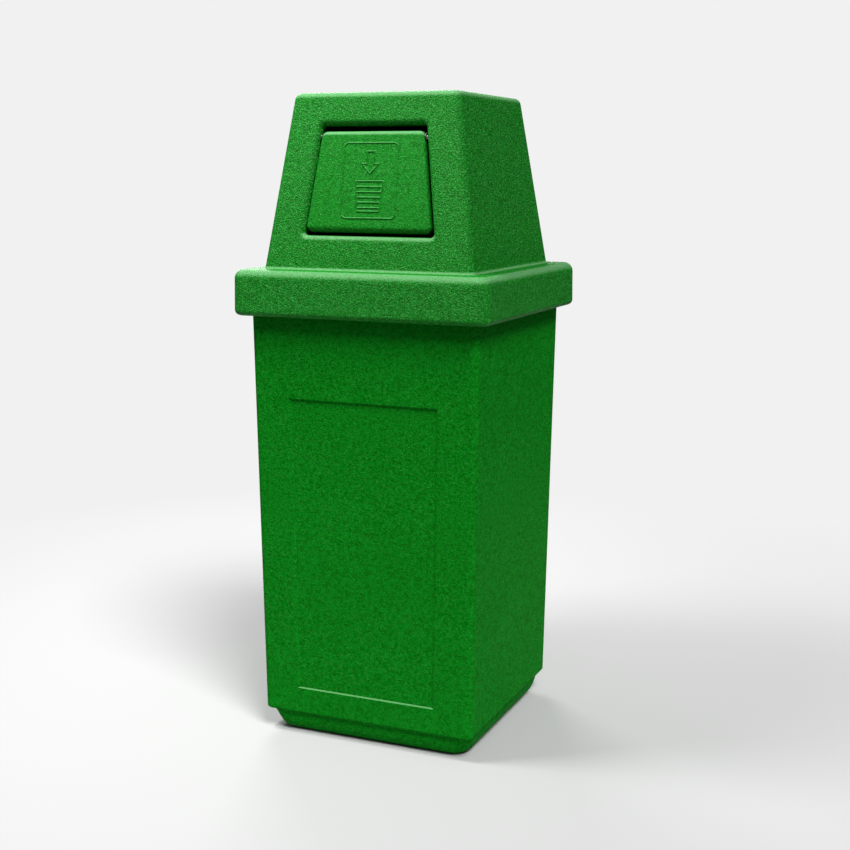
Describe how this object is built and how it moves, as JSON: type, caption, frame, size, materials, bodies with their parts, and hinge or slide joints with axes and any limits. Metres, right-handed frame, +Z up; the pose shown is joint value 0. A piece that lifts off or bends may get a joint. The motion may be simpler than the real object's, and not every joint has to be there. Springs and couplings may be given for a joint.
{
  "type": "litter bin",
  "caption": "Square green moulded litter bin: hood with a push flap drops over a tub on a plinth, with a rear lock and a lift-out steel liner.",
  "frame": {"origin": "on the ground under the middle of the bin's body", "axes": "+Z up, the flap faces -Y, +X to the right of someone who faces the flap"},
  "size_m": [0.4598, 0.4647, 1.1],
  "materials": {
    "green_polyethylene": "rotationally moulded green polyethylene with a fine grain",
    "stainless_steel": "brushed stainless steel",
    "zinc_steel": "galvanised steel",
    "black_nylon": "black nylon",
    "black_rubber": "black rubber"
  },
  "bodies": {
    "bin_body": {"body_shell": "green_polyethylene"},
    "hood": {"hood_shell": "green_polyethylene", "flap_hinge_rod": "stainless_steel", "rod_cap_left": "black_nylon", "rod_cap_right": "black_nylon", "lock_barrel": "stainless_steel", "lock_gasket": "black_rubber", "lock_nut": "zinc_steel"},
    "flap": {"front_flap": "green_polyethylene", "flap_bush_left": "black_nylon", "flap_bush_right": "black_nylon"},
    "lock": {"lock_plug": "stainless_steel", "lock_cam": "zinc_steel", "lock_cam_screw": "zinc_steel"},
    "liner": {"liner": "zinc_steel", "handle_clip_left_front": "zinc_steel", "handle_clip_left_rear": "zinc_steel", "handle_clip_right_front": "zinc_steel", "handle_clip_right_rear": "zinc_steel", "clip_rivet_left_front_lower": "zinc_steel", "clip_rivet_left_front_upper": "zinc_steel", "clip_rivet_left_rear_lower": "zinc_steel", "clip_rivet_left_rear_upper": "zinc_steel", "clip_rivet_right_front_lower": "zinc_steel", "clip_rivet_right_front_upper": "zinc_steel", "clip_rivet_right_rear_lower": "zinc_steel", "clip_rivet_right_rear_upper": "zinc_steel"},
    "left_handle": {"liner_handle_left": "zinc_steel"},
    "right_handle": {"liner_handle_right": "zinc_steel"}
  },
  "joints": [
    {"name": "hood_lift", "type": "slide", "parent": "bin_body", "child": "hood", "axis": [0, 0, 1], "range_m": [0, 1.6]},
    {"name": "flap_swing", "type": "hinge", "parent": "hood", "child": "flap", "pos_m": [0, -0.1481, 1.0268], "axis": [1, 0, 0], "range_deg": [-60, 80]},
    {"name": "lock_turn", "type": "hinge", "parent": "hood", "child": "lock", "pos_m": [0, 0.2153, 0.775], "axis": [0, 1, 0], "range_deg": [0, 90]},
    {"name": "liner_lift", "type": "slide", "parent": "bin_body", "child": "liner", "axis": [0, 0, 1], "range_m": [0, 0.8]},
    {"name": "left_handle_swing", "type": "hinge", "parent": "liner", "child": "left_handle", "pos_m": [-0.17607, 0, 0.74621], "axis": [0, -1, 0], "range_deg": [0, 175]},
    {"name": "right_handle_swing", "type": "hinge", "parent": "liner", "child": "right_handle", "pos_m": [0.17607, 0, 0.74621], "axis": [0, 1, 0], "range_deg": [0, 175]}
  ],
  "couplings": [
    {"joint": "liner_lift", "follows": "hood_lift", "ratio": 0.5}
  ]
}
